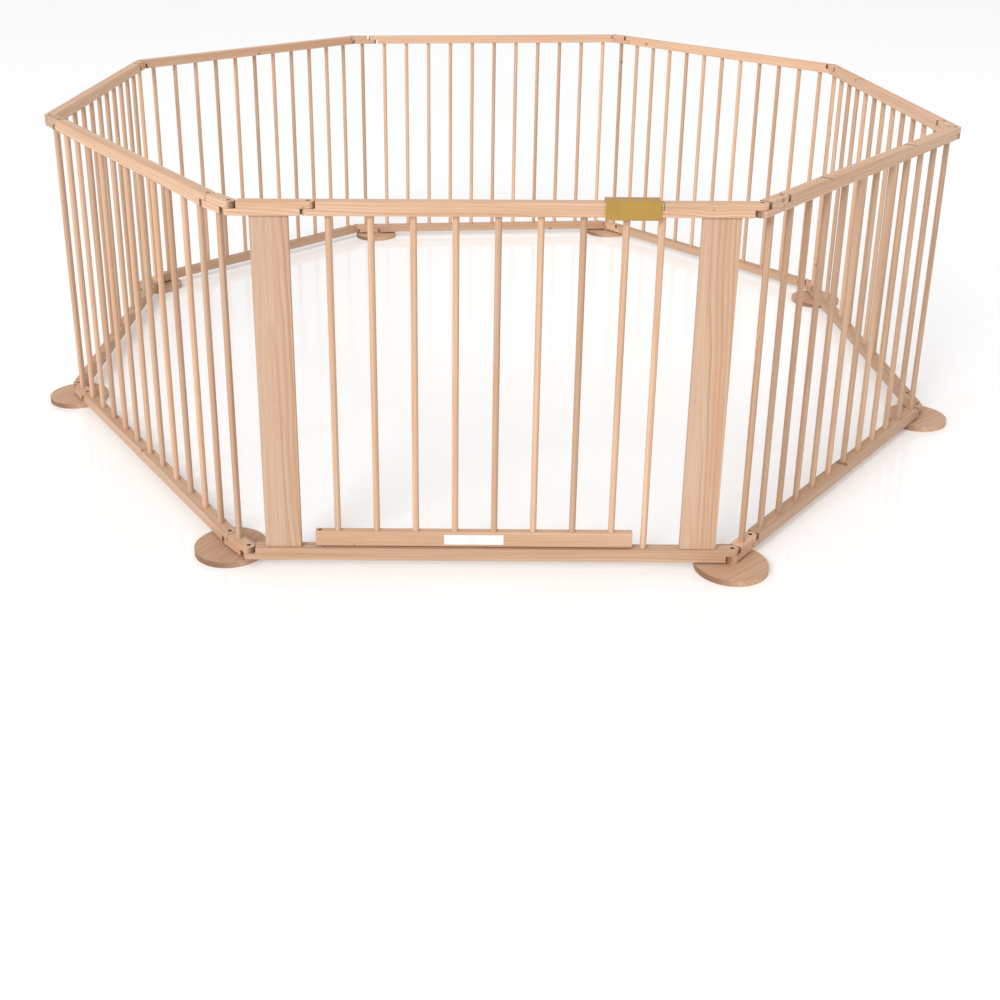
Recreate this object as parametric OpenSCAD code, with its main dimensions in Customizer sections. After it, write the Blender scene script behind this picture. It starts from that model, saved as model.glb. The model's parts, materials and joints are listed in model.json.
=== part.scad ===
// Folding wooden playpen: eight bar panels joined into a ring by short double-hinged corner links.
// The front panel holds a gate with a sliding latch.
// Millimetres. +Z is up, the floor is z = 0, and the gate panel faces -Y.

/* [Panels] */
// Distance between the two pivots of a plain panel
panel_l = 830; // [780:10:1000]
// Distance between the two pivots of the gate panel
gate_panel_l = 900; // [880:10:1080]
// Height of the pen, floor to the top of the top rail
pen_h = 700; // [420:10:900]
// Width of a rail, across the panel
rail_w = 24; // [20:0.5:28]
// Height of a rail
rail_h = 24.5; // [20:0.5:30]
// Height of the underside of the bottom rail above the floor
rail_clear = 17; // [13:0.5:40]

/* [Bars] */
// Diameter of an upright bar
bar_d = 12; // [8:0.5:15]
// Distance between neighbouring bars of a plain panel
bar_pitch = 75; // [60:1:76]
// Number of bars in a plain panel
bar_count = 11; // [3:2:11]
// Depth of a bar's hole in a rail
bar_seat = 10; // [4:0.5:10]

/* [Corner links] */
// Distance between the two pivots of a corner link
link_l = 70; // [50:1:100]
// Diameter of a pivot pin
pin_d = 8; // [5:0.5:9]
// Depth of a pin's end below the surface of its finger
pin_recess = 2.5; // [1:0.5:5]
// Distance between a finger's round end and the shoulder that it turns past
shoulder_gap = 1; // [0.8:0.1:3]
// The same distance at corner 6's first pivot, where the ring of joints is left open
open_gap = 6; // [5:0.5:8]

/* [Feet] */
// Diameter of a foot disc
foot_d = 138; // [80:1:160]
// Thickness of a foot disc
foot_t = 12; // [10:0.5:12.5]
// Depth that a corner pin goes into its foot disc
foot_pin_seat = 8; // [4:0.5:9]

/* [Gate panel] */
// Width of an upright board of the gate panel
board_w = 66; // [40:1:74]
// Thickness of an upright board
board_t = 15; // [10:0.5:18]
// Distance from the gate panel's pivot to the middle of the nearer board
board_s = 66; // [56:0.5:70]
// Shoulder left on each side of a board's tenon
tenon_shoulder = 4; // [2:0.5:8]
// Length of a board's tenon
tenon_l = 9; // [5:0.5:10]
// Distance from the first pivot to the gate's hinge pins
hinge_s = 134; // [128:1:150]
// Distance from the hinge pins to the end of the gate's top rail
gate_l = 599; // [590:0.5:604]
// Length of the lap between the gate's top rail and the fixed rail beyond it
gate_lap = 22; // [16:0.5:26]
// Gap at each end of that lap
gate_gap = 1; // [0.5:0.1:3]
// Distance that the gate's bottom rail runs past the full part of its top rail
gate_foot_over = 2; // [0:0.5:5]
// Overhang of the gate's bottom rail behind the hinge pins
gate_heel = 8; // [6:0.5:12]
// Height of the gate's bottom rail
gate_rail_h = 30; // [20:0.5:34]
// Thickness of the gate's bottom rail
gate_rail_t = 16; // [14:0.5:22]
// Gap between the fixed bottom rail and the gate's bottom rail
gate_lift = 3; // [1:0.5:8]
// Number of bars in the gate
gate_bar_count = 8; // [3:1:8]
// Distance from the hinge pins to the first gate bar
gate_bar_first = 33; // [28:0.5:38]
// Distance between neighbouring gate bars
gate_bar_pitch = 72.3; // [60:0.1:73]

/* [Latch] */
// Length of the latch sleeve
latch_l = 93; // [74:1:104]
// Wall thickness of the latch sleeve
latch_wall = 4; // [2:0.1:5]
// Travel of the latch sleeve
latch_travel = 34; // [30:1:45]
// Distance that the closed sleeve reaches past the end of the fixed rail's finger
latch_reach = 17.5; // [14:0.5:20]
// Distance from the hinge pins to the latch's stop screw
stop_screw_s = 522; // [516:1:526]
// Diameter of the stop screw's head
stop_head_d = 7; // [5:0.5:9]
// Diameter of the stop screw's shank
stop_shank_d = 4; // [2:0.5:5]
// Length of the stop screw's shank in the rail
stop_shank_l = 13; // [6:0.5:17]

/* [Label] */
// Width of the label plate
label_w = 110; // [60:1:150]
// Height of the label plate
label_h = 20; // [10:0.5:20]
// Thickness of the label plate
label_t = 0.6; // [0.4:0.1:1]
// Distance from the hinge pins to the label's near edge
label_s = 230; // [160:1:300]

/* [Clearances] */
// Radial clearance of a pin or a bar in its bore
fit_clear = 0.05; // [0.02:0.01:0.09]
// Gap between a bar's end and the bottom of its hole
end_clear = 0.2; // [0.1:0.1:0.5]
// Gap between the washer at the gate's foot and the gate
washer_clear = 0.1; // [0.05:0.05:0.3]
// Gap between the two fingers of a pivot
lap_gap = 0.4; // [0.2:0.1:1]
// Gap on each side of a tenon in its mortise
tenon_clear = 0.1; // [0.05:0.05:0.3]
// Gap between the latch sleeve and the rails
latch_clear = 0.4; // [0.3:0.1:0.8]
// Gap between a bar and the edge of the latch sleeve's slot
slot_clear = 1; // [0.5:0.1:2]
// Distance of a cut pin's end from the gap between the fingers, at the open pivot
cut_clear = 0.5; // [0.2:0.1:1]

/* [Fold at rest] */
// Turn at corner 1's first pivot, between panel 8 and the link, in degrees
turn_1_first = 6; // [0:0.5:30]
// Turn at corner 1's second pivot, between the link and the gate panel
turn_1_second = 50; // [30:0.5:60]
// Turn at corner 2
turn_2 = 50.5; // [40:0.5:60]
// Turn at corner 3
turn_3 = 40; // [30:0.5:50]
// Turn at corner 4
turn_4 = 37.5; // [30:0.5:50]
// Turn at corner 8
turn_8 = 33.5; // [24:0.5:44]

/* [Hidden] */
$fn = 96;
corners = 8;
eps = 0.01;

// Headings of panels 1 to 4, 7 and 8. Panel 1 holds the gate and lies along x.
head_2 = turn_2;
head_3 = head_2 + turn_3;
head_4 = head_3 + turn_4;
head_8 = -turn_1_first - turn_1_second;
head_7 = head_8 - turn_8;
// Panels 5 and 6 close the ring. Link 6 lies in line with panel 5, so the two and panel 6 make two sides
// of a triangle, and what is left of the ring is its third side.
function along(turn, l) = [l * cos(turn), l * sin(turn), 0];
rest_panels = along(0, gate_panel_l) + along(head_2, panel_l) + along(head_3, panel_l)
    + along(head_4, panel_l) + along(head_7, panel_l) + along(head_8, panel_l);
rest_links = along(-turn_1_second, link_l) + along(head_2, link_l) + 2 * along(head_3, link_l)
    + along(head_4, link_l) + along(head_7, link_l) + along(head_8, link_l);
third_side = -(rest_panels + rest_links);
third_l = norm(third_side);
third_head = atan2(third_side.y, third_side.x);
long_side = panel_l + link_l;
function triangle_angle(near_1, near_2, far) =
    acos((near_1 * near_1 + near_2 * near_2 - far * far) / (2 * near_1 * near_2));
head_5 = third_head - triangle_angle(long_side, third_l, panel_l);
head_6 = third_head + triangle_angle(panel_l, third_l, long_side);

panel_heads = [0, head_2, head_3, head_4, head_5, head_6, head_7, head_8];
link_heads = [-turn_1_second, head_2, head_3, head_3, head_4, head_5, head_7, head_8];
function panel_turn(i) = panel_heads[i - 1];
function link_turn(i) = link_heads[i - 1];
// Start of panel i and of link i, from the start of panel 1
function panel_start(i) = i <= 1 ? [0, 0, 0] : link_start(i) + along(link_turn(i), link_l);
function link_start(i) = i <= 1 ? -along(link_turn(1), link_l)
    : panel_start(i - 1) + along(panel_turn(i - 1), i == 2 ? gate_panel_l : panel_l);

// The foot is under the link's first pivot, but at corner 5 it is under the second one
foot_under_second = 5;
function foot_place(i) = i == foot_under_second ? panel_start(i) : link_start(i);
// Middle of the pen's overall size along axis k
feet_at = [for (i = [1 : corners]) foot_place(i)];
ends_at = [for (i = [1 : corners], p = [panel_start(i), link_start(i)]) p];
function far_side(k) = max(
    max([for (p = feet_at) p[k]]) + foot_d / 2,
    max([for (p = ends_at) p[k]]) + rail_w / 2
);
function near_side(k) = min(
    min([for (p = feet_at) p[k]]) - foot_d / 2,
    min([for (p = ends_at) p[k]]) - rail_w / 2
);
ring_centre = [(far_side(0) + near_side(0)) / 2, (far_side(1) + near_side(1)) / 2, 0];

rail_r = rail_w / 2;
shoulder = rail_r + shoulder_gap;
open_shoulder = rail_r + open_gap;
lap_lo = (rail_h - lap_gap) / 2;
lap_hi = (rail_h + lap_gap) / 2;
bottom_z = rail_clear;
top_z = pen_h - rail_h;
bar_r = bar_d / 2;
bore_r = pin_d / 2 + fit_clear;
bar_bore_r = bar_r + fit_clear;
bar_hole_z = bottom_z + rail_h - bar_seat;
bar_z = bar_hole_z + end_clear;
bar_len = top_z + bar_seat - end_clear - bar_z;

gate_end = hinge_s + gate_l;
fixed_finger_s = gate_end - gate_lap;
fixed_full_s = gate_end + gate_gap;
gate_full_end = fixed_finger_s - gate_gap;
gate_foot_end = gate_full_end + gate_foot_over;
fixed_bar_s = gate_end + gate_gap / 2;
gate_bottom_z = bottom_z + rail_h + gate_lift;
gate_hole_z = gate_bottom_z + gate_rail_h - bar_seat;
gate_bar_z = gate_hole_z + end_clear;
gate_bar_len = top_z + bar_seat - end_clear - gate_bar_z;
latch_end = fixed_finger_s + latch_reach;
latch_start = latch_end - latch_l;
latch_in_w = rail_w + 2 * latch_clear;
latch_in_h = rail_h + 2 * latch_clear;
latch_out_w = latch_in_w + 2 * latch_wall;
latch_out_h = latch_in_h + 2 * latch_wall;
latch_slot_w = bar_d + 2 * slot_clear;
stop_slot_r = stop_head_d / 2 + latch_clear;
stop_s = hinge_s + stop_screw_s;
stop_z = top_z + rail_h / 4;
label_z = gate_bottom_z + (gate_rail_h - label_h) / 2;

pine = [0.87, 0.72, 0.58];
pale_pine = [0.90, 0.77, 0.64];
pin_brown = [0.30, 0.22, 0.17];
mustard = [0.76, 0.62, 0.31];
label_white = [0.94, 0.93, 0.90];
screw_grey = [0.62, 0.62, 0.62];

// Node to draw, or all of them

// ---- Places ----

// Panel i lies along x from its first pivot, with the inside of the pen towards +y
module on_panel(i) {
    translate(panel_start(i) - ring_centre)
        rotate([0, 0, panel_turn(i)])
            children();
}

module on_link(i) {
    translate(link_start(i) - ring_centre)
        rotate([0, 0, link_turn(i)])
            children();
}

// ---- Shared shapes ----

// A straight bar of rail section from x0 to x1 and z0 to z1
module stick(x0, x1, z0, z1) {
    translate([x0, -rail_r, z0])
        cube([x1 - x0, rail_w, z1 - z0]);
}

// The round end of a finger, and the part that joins it to a shoulder at x1
module finger(x0, x1, z0, z1) {
    translate([x0, 0, z0])
        cylinder(r = rail_r, h = z1 - z0);
    stick(min(x0, x1), max(x0, x1), z0, z1);
}

// The start of a rail has the lower finger and its end the upper one
module start_finger(x, z, reach = shoulder) {
    finger(x, x + reach, z, z + lap_lo);
}

module end_finger(x, z, reach = shoulder) {
    finger(x, x - reach, z + lap_hi, z + rail_h);
}

module bore(x, r, z0, h) {
    translate([x, 0, z0])
        cylinder(r = r, h = h);
}

// A through bore for a pivot pin in a rail at height z
module pivot_bore(x, z) {
    bore(x, bore_r, z - eps, rail_h + 2 * eps);
}

// A rail from the pivot at x = 0 to the pivot at x = l
module hinged_rail(l, z, start_reach = shoulder, end_reach = shoulder) {
    difference() {
        union() {
            start_finger(0, z, start_reach);
            stick(start_reach, l - end_reach, z, z + rail_h);
            end_finger(l, z, end_reach);
        }
        pivot_bore(0, z);
        pivot_bore(l, z);
    }
}

// Distance of bar k from the panel's first pivot
function bar_s(k) = panel_l / 2 + (k - (bar_count - 1) / 2) * bar_pitch;
function gate_bar_s(k) = hinge_s + gate_bar_first + k * gate_bar_pitch;

module bar_holes(z) {
    for (k = [0 : bar_count - 1])
        bore(bar_s(k), bar_bore_r, z, bar_seat + eps);
}

module gate_bar_holes(z) {
    for (k = [0 : gate_bar_count - 1])
        bore(gate_bar_s(k), bar_bore_r, z, bar_seat + eps);
}

// ---- Plain panels ----

// Panel 5 and link 6 meet at the pivot where the ring of joints is left open
open_corner = 6;
function panel_end_reach(i) = i == open_corner - 1 ? open_shoulder : shoulder;
function link_start_reach(i) = i == open_corner ? open_shoulder : shoulder;

module panel_top_rail(i) {
    color(pine)
        on_panel(i)
            difference() {
                hinged_rail(panel_l, top_z, end_reach = panel_end_reach(i));
                bar_holes(top_z - eps);
            }
}

module panel_bottom_rail(i) {
    color(pine)
        on_panel(i)
            difference() {
                hinged_rail(panel_l, bottom_z, end_reach = panel_end_reach(i));
                bar_holes(bar_hole_z);
            }
}

module panel_bars(i) {
    color(pale_pine)
        on_panel(i)
            for (k = [0 : bar_count - 1])
                bore(bar_s(k), bar_r, bar_z, bar_len);
}

// ---- Corners ----

// Two short knuckles, one above the other, and the post between them
module corner_link(i) {
    color(pine)
        on_link(i) {
            difference() {
                hinged_rail(link_l, top_z, start_reach = link_start_reach(i));
                bore(link_l / 2, bar_bore_r, top_z - eps, bar_seat + eps);
            }
            difference() {
                hinged_rail(link_l, bottom_z, start_reach = link_start_reach(i));
                bore(link_l / 2, bar_bore_r, bar_hole_z, bar_seat + eps);
            }
            bore(link_l / 2, bar_r, bar_z, bar_len);
        }
}

// A pin through both fingers at height z, or only through the lower one
module pin(x, z, z0, cut = false) {
    top = cut ? z + lap_lo - cut_clear : z + rail_h - pin_recess;
    bore(x, pin_d / 2, z0, top - z0);
}

module corner_pins(i) {
    foot_x = i == foot_under_second ? link_l : 0;
    cut = i == open_corner;
    color(pin_brown)
        on_link(i) {
            pin(0, top_z, top_z + pin_recess, cut);
            pin(link_l, top_z, top_z + pin_recess);
            pin(link_l - foot_x, bottom_z, bottom_z + pin_recess);
            pin(foot_x, bottom_z, foot_t - foot_pin_seat, cut);
        }
}

// The upper parts of the cut pins, in the fingers of panel 5
module open_pivot_pin_ends() {
    z0 = lap_hi + cut_clear;
    color(pin_brown)
        on_panel(open_corner - 1)
            for (z = [bottom_z, top_z])
                bore(panel_l, pin_d / 2, z + z0, rail_h - pin_recess - z0);
}

// A round disc with a boss that carries the lower finger
module foot() {
    difference() {
        union() {
            cylinder(d = foot_d, h = foot_t);
            cylinder(r = rail_r, h = rail_clear);
        }
        bore(0, bore_r, foot_t - foot_pin_seat, rail_clear);
    }
}

module corner_foot(i) {
    color(pale_pine)
        if (i == foot_under_second)
            on_panel(i) foot();
        else
            on_link(i) foot();
}

// ---- Gate panel: fixed frame ----

// An upright board's tenon, or with a clearance the mortise that takes it
module tenon(s, z, gap) {
    w = board_w - 2 * tenon_shoulder + 2 * gap;
    t = board_t - 2 * tenon_shoulder + 2 * gap;
    translate([s - w / 2, -t / 2, z])
        cube([w, t, tenon_l]);
}

module mortise_up(s) {
    translate([0, 0, eps])
        tenon(s, bottom_z + rail_h - tenon_l, tenon_clear);
}

module mortise_down(s) {
    translate([0, 0, -eps])
        tenon(s, top_z, tenon_clear);
}

module board(s) {
    translate([s - board_w / 2, -board_t / 2, bottom_z + rail_h])
        cube([board_w, board_t, top_z - bottom_z - rail_h]);
    tenon(s, bottom_z + rail_h - tenon_l + eps, 0);
    tenon(s, top_z - eps, 0);
}

module gate_panel_bottom_rail() {
    color(pine)
        on_panel(1)
            difference() {
                hinged_rail(gate_panel_l, bottom_z);
                mortise_up(board_s);
                mortise_up(gate_panel_l - board_s);
                bore(fixed_bar_s, bar_bore_r, bar_hole_z, bar_seat + eps);
                bore(hinge_s, bore_r, bottom_z + rail_h / 2, rail_h);
            }
}

// From the first corner to the finger above the gate's hinge end
module hinge_side_top_rail() {
    color(pine)
        on_panel(1)
            difference() {
                union() {
                    start_finger(0, top_z);
                    stick(shoulder, hinge_s - shoulder, top_z, pen_h);
                    end_finger(hinge_s, top_z);
                }
                pivot_bore(0, top_z);
                pivot_bore(hinge_s, top_z);
                mortise_down(board_s);
            }
}

// From the finger that the closed gate rests over to the second corner
module latch_side_top_rail() {
    color(pine)
        on_panel(1)
            difference() {
                union() {
                    stick(fixed_finger_s, fixed_full_s, top_z, top_z + lap_lo);
                    stick(fixed_full_s, gate_panel_l - shoulder, top_z, pen_h);
                    end_finger(gate_panel_l, top_z);
                }
                pivot_bore(gate_panel_l, top_z);
                mortise_down(gate_panel_l - board_s);
                bore(fixed_bar_s, bar_bore_r, top_z - eps, bar_seat + eps);
            }
}

module hinge_side_board() {
    color(pale_pine)
        on_panel(1)
            board(board_s);
}

module latch_side_board() {
    color(pale_pine)
        on_panel(1)
            board(gate_panel_l - board_s);
}

module gate_post_bar() {
    color(pale_pine)
        on_panel(1)
            bore(fixed_bar_s, bar_r, bar_z, bar_len);
}

// The upper and lower hinge pins, and the washer that carries the gate
module gate_hinge_pins() {
    pin_z = bottom_z + rail_h / 2;
    pin_top = gate_bottom_z + gate_rail_h - pin_recess;
    color(screw_grey)
        on_panel(1) {
            bore(hinge_s, pin_d / 2, top_z + pin_recess, rail_h - 2 * pin_recess);
            bore(hinge_s, pin_d / 2, pin_z, pin_top - pin_z);
            difference() {
                bore(hinge_s, pin_d, bottom_z + rail_h, gate_lift - washer_clear);
                bore(hinge_s, bore_r, bottom_z + rail_h - eps, gate_lift + eps);
            }
        }
}

// ---- Gate ----

module gate_top_rail() {
    color(pine)
        on_panel(1)
            difference() {
                union() {
                    start_finger(hinge_s, top_z);
                    stick(hinge_s + shoulder, gate_full_end, top_z, pen_h);
                    stick(gate_full_end, gate_end, top_z + lap_hi, pen_h);
                }
                pivot_bore(hinge_s, top_z);
                gate_bar_holes(top_z - eps);
                stop_bore();
            }
}

module gate_bottom_rail() {
    color(pine)
        on_panel(1)
            difference() {
                translate([hinge_s - gate_heel, -gate_rail_t / 2, gate_bottom_z])
                    cube([gate_foot_end - hinge_s + gate_heel, gate_rail_t, gate_rail_h]);
                bore(hinge_s, bore_r, gate_bottom_z - eps, gate_rail_h + 2 * eps);
                gate_bar_holes(gate_hole_z);
            }
}

module gate_bars() {
    color(pale_pine)
        on_panel(1)
            for (k = [0 : gate_bar_count - 1])
                bore(gate_bar_s(k), bar_r, gate_bar_z, gate_bar_len);
}

module gate_label() {
    color(label_white)
        on_panel(1)
            translate([hinge_s + label_s, -gate_rail_t / 2 - label_t, label_z])
                cube([label_w, label_t, label_h]);
}

// ---- Latch ----

// A cylinder across the rail, from y0 to y0 + l
module across(s, z, r, y0, l) {
    translate([s, y0, z])
        rotate([-90, 0, 0])
            cylinder(r = r, h = l);
}

module stop_bore() {
    across(stop_s, stop_z, stop_shank_d / 2 + fit_clear, rail_r - stop_shank_l, stop_shank_l + eps);
}

// A screw in the inner face of the gate's top rail; its head slides in the sleeve's slot
module latch_stop_screw() {
    head_y = latch_clear / 2;
    color(screw_grey)
        on_panel(1) {
            across(stop_s, stop_z, stop_shank_d / 2, rail_r - stop_shank_l, stop_shank_l + head_y);
            across(stop_s, stop_z, stop_head_d / 2, rail_r, latch_clear + latch_wall);
        }
}

// A moulded sleeve round the rail, open underneath for the bars
module latch_sleeve() {
    z0 = top_z - latch_clear - latch_wall;
    color(mustard)
        on_panel(1)
            difference() {
                translate([latch_start, -latch_out_w / 2, z0])
                    cube([latch_l, latch_out_w, latch_out_h]);
                translate([latch_start - eps, -latch_in_w / 2, top_z - latch_clear])
                    cube([latch_l + 2 * eps, latch_in_w, latch_in_h]);
                translate([latch_start - eps, -latch_slot_w / 2, z0 - eps])
                    cube([latch_l + 2 * eps, latch_slot_w, latch_wall + 2 * eps]);
                stop_slot();
            }
}

// The slot in the sleeve's inner wall that sets its travel
module stop_slot() {
    y0 = latch_in_w / 2 - eps;
    wall = latch_wall + 2 * eps;
    across(stop_s, stop_z, stop_slot_r, y0, wall);
    across(stop_s + latch_travel, stop_z, stop_slot_r, y0, wall);
    translate([stop_s, y0, stop_z - stop_slot_r])
        cube([latch_travel, wall, 2 * stop_slot_r]);
}

// ---- Drawing ----

gate_panel_bottom_rail();
hinge_side_top_rail();
latch_side_top_rail();
hinge_side_board();
latch_side_board();
gate_post_bar();
gate_hinge_pins();
gate_top_rail();
gate_bottom_rail();
gate_bars();
gate_label();
latch_stop_screw();
latch_sleeve();
panel_top_rail(2);  // panel_2_top_rail
panel_bottom_rail(2);  // panel_2_bottom_rail
panel_bars(2);  // panel_2_bars
panel_top_rail(3);  // panel_3_top_rail
panel_bottom_rail(3);  // panel_3_bottom_rail
panel_bars(3);  // panel_3_bars
panel_top_rail(4);  // panel_4_top_rail
panel_bottom_rail(4);  // panel_4_bottom_rail
panel_bars(4);  // panel_4_bars
panel_top_rail(5);  // panel_5_top_rail
panel_bottom_rail(5);  // panel_5_bottom_rail
panel_bars(5);  // panel_5_bars
panel_top_rail(6);  // panel_6_top_rail
panel_bottom_rail(6);  // panel_6_bottom_rail
panel_bars(6);  // panel_6_bars
panel_top_rail(7);  // panel_7_top_rail
panel_bottom_rail(7);  // panel_7_bottom_rail
panel_bars(7);  // panel_7_bars
panel_top_rail(8);  // panel_8_top_rail
panel_bottom_rail(8);  // panel_8_bottom_rail
panel_bars(8);  // panel_8_bars
corner_link(1);  // corner_1_link
corner_pins(1);  // corner_1_pins
corner_foot(1);  // corner_1_foot
corner_link(2);  // corner_2_link
corner_pins(2);  // corner_2_pins
corner_foot(2);  // corner_2_foot
corner_link(3);  // corner_3_link
corner_pins(3);  // corner_3_pins
corner_foot(3);  // corner_3_foot
corner_link(4);  // corner_4_link
corner_pins(4);  // corner_4_pins
corner_foot(4);  // corner_4_foot
corner_link(5);  // corner_5_link
corner_pins(5);  // corner_5_pins
corner_foot(5);  // corner_5_foot
corner_link(6);  // corner_6_link
corner_pins(6);  // corner_6_pins
corner_foot(6);  // corner_6_foot
open_pivot_pin_ends();
corner_link(7);  // corner_7_link
corner_pins(7);  // corner_7_pins
corner_foot(7);  // corner_7_foot
corner_link(8);  // corner_8_link
corner_pins(8);  // corner_8_pins
corner_foot(8);  // corner_8_foot
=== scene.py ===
"""Looks of the folding wooden playpen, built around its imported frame."""

import json
import math
import random

import bmesh
import bpy
from bpy.props import FloatProperty, FloatVectorProperty, IntProperty, PointerProperty
from mathutils import Matrix, Vector

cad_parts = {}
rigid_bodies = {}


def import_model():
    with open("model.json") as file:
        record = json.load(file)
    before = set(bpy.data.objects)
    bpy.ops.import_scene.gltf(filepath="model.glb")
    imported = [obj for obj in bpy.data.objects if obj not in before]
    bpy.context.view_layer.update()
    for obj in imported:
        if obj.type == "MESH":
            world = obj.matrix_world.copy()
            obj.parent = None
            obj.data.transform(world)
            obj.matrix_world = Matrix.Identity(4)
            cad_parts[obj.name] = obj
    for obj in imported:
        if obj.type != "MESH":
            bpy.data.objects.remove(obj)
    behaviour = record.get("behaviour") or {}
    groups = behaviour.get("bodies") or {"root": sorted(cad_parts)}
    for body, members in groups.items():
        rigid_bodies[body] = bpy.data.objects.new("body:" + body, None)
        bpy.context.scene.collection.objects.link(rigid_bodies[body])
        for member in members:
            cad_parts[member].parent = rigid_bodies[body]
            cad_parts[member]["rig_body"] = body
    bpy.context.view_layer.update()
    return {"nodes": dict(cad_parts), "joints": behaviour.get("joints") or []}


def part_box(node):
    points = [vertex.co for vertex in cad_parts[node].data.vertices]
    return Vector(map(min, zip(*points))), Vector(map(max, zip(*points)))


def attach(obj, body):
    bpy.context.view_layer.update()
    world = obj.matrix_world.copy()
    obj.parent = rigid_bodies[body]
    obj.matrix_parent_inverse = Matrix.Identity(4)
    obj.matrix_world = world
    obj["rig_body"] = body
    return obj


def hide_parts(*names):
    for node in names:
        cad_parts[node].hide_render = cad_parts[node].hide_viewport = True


bl_info = {
    "name": "Folding Playpen",
    "version": (1, 0, 0),
    "blender": (4, 5, 0),
    "location": "View3D > Sidebar > Playpen",
    "description": "Builds the pine rails, bars, feet and gate of a folding playpen",
    "category": "Object",
}

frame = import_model()

PLAIN_PANELS = range(2, 9)
CORNERS = range(1, 9)


# ---- Places taken from the frame ----


def pivot_places():
    """Each corner's first and second pivot on the floor plan.

    The first pivot of corner 6 is open and has no joint. It stands over the middle of its foot.
    """
    hinges = [j for j in frame["joints"] if j["type"] == "hinge"]
    places = {j["name"]: Vector((j["pos_m"][0], j["pos_m"][1], 0)) for j in hinges}
    low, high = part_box("corner_6_foot")
    middle = (low + high) / 2
    places["corner_6_first_pivot"] = Vector((middle.x, middle.y, 0))
    return places


PIVOTS = pivot_places()


def heading(start, end):
    """Angle of the line from start to end, from +X towards +Y."""
    line = end - start
    return math.atan2(line.y, line.x)


def panel_line(number):
    """Where panel `number` starts, and its heading."""
    start = PIVOTS[f"corner_{number}_second_pivot"]
    return start, heading(start, PIVOTS[f"corner_{number % 8 + 1}_first_pivot"])


def link_line(number):
    """Where corner link `number` starts, and its heading."""
    start = PIVOTS[f"corner_{number}_first_pivot"]
    return start, heading(start, PIVOTS[f"corner_{number}_second_pivot"])


def to_local(line):
    """Moves places so that x runs along the line and its start is the origin."""
    start, angle = line
    return Matrix.Rotation(-angle, 4, "Z") @ Matrix.Translation(-start)


# ---- Sizes and colours that can be changed ----


def colour(name, description, default):
    return FloatVectorProperty(
        name=name, description=description, subtype="COLOR", size=3, min=0, max=1, default=default
    )


def length(name, description, default, high=1.0):
    return FloatProperty(
        name=name,
        description=description,
        unit="LENGTH",
        subtype="DISTANCE",
        default=default,
        min=0,
        max=high,
        precision=4,
    )


def share(name, description, default):
    return FloatProperty(
        name=name, description=description, default=default, min=0, max=1, subtype="FACTOR"
    )


def amount(name, description, default, low, high):
    return FloatProperty(name=name, description=description, default=default, min=low, max=high)


def tilt(name, description, degrees):
    return FloatProperty(
        name=name, description=description, subtype="ANGLE", default=math.radians(degrees)
    )


class PineLook(bpy.types.PropertyGroup):
    """Colours and grain of the pine."""

    early: colour("Early wood", "Pale wood between the growth lines", (0.745, 0.508, 0.350))
    late: colour("Late wood", "Darker wood of the growth lines", (0.430, 0.200, 0.090))
    warm: colour("Warm patches", "Wood that has turned a little orange", (0.590, 0.345, 0.200))
    end: colour("End grain", "Sawn ends, which soak up more lacquer", (0.190, 0.090, 0.048))
    board: colour("Board wood", "Early wood of the two upright boards", (0.655, 0.452, 0.322))
    knot: colour("Knots", "Small branches cut across", (0.300, 0.125, 0.050))
    foot: colour("Foot wood", "Pale wood of the foot discs", (0.660, 0.450, 0.315))
    ring: length("Growth line spacing", "Distance between two growth lines", 0.0042, 0.05)
    roughness: share("Roughness", "Roughness of the satin lacquer", 0.5)


class EdgeLook(bpy.types.PropertyGroup):
    """How far each kind of part has its edges rounded."""

    rail: length("Rail edge", "Rounding of the rails and corner links", 0.0022, 0.01)
    board: length("Board edge", "Rounding of the two upright boards", 0.0018, 0.01)
    gate: length("Gate rail edge", "Rounding of the gate's bottom rail", 0.0030, 0.01)
    foot: length("Foot edge", "Rounding of the foot discs", 0.0030, 0.01)
    latch: length("Latch edge", "Rounding of the moulded sleeve", 0.0016, 0.01)
    steps: IntProperty(name="Steps", description="Faces across a rounded edge", default=3, min=1, max=6)
    bar_sides: IntProperty(name="Bar sides", description="Faces round a bar", default=28, min=8, max=64)


class FittingLook(bpy.types.PropertyGroup):
    """Colours of the latch, the pins and the label."""

    latch: colour("Latch", "Mustard plastic of the sleeve", (0.418, 0.251, 0.054))
    pin: colour("Pins", "Dark steel of the pivot pins", (0.045, 0.034, 0.028))
    screw: colour("Screw", "Zinc of the screw and the gate's hinge pins", (0.560, 0.550, 0.530))
    label: colour("Label", "Blank card on the gate", (0.840, 0.835, 0.815))


class StudioLook(bpy.types.PropertyGroup):
    """Camera, lights and floor."""

    camera_place: FloatVectorProperty(
        name="Camera place",
        description="Where the camera stands",
        subtype="TRANSLATION",
        size=3,
        unit="LENGTH",
        default=(-0.05957, -3.28413, 1.21839),
    )
    yaw: tilt("Yaw", "Turn of the camera away from +Y", 0.4373)
    pitch: tilt("Pitch", "Tilt of the camera below level", 20.1497)
    roll: tilt("Roll", "Turn of the camera about its view", 0.1836)
    lens: amount("Lens", "Focal length in millimetres", 45.879, 10, 200)
    shift_x: amount("Shift across", "Sideways shift of the lens", 0.04516, -1, 1)
    shift_y: amount("Shift up", "Upward shift of the lens", -0.1591, -1, 1)
    floor: colour("Floor", "Pale floor", (0.920, 0.920, 0.920))
    glow: share("Floor glow", "Light from under the floor", 0.10)
    sky: amount("Sky", "Strength of the even light", 0.74, 0, 5)
    key: amount("Key", "Strength of the large soft light", 1.9, 0, 20)
    spread: tilt("Key spread", "How wide the large light is", 28)


LOOKS = {
    "playpen_pine": PineLook,
    "playpen_edges": EdgeLook,
    "playpen_fittings": FittingLook,
    "playpen_studio": StudioLook,
}


# ---- Nodes written as sums ----


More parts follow.
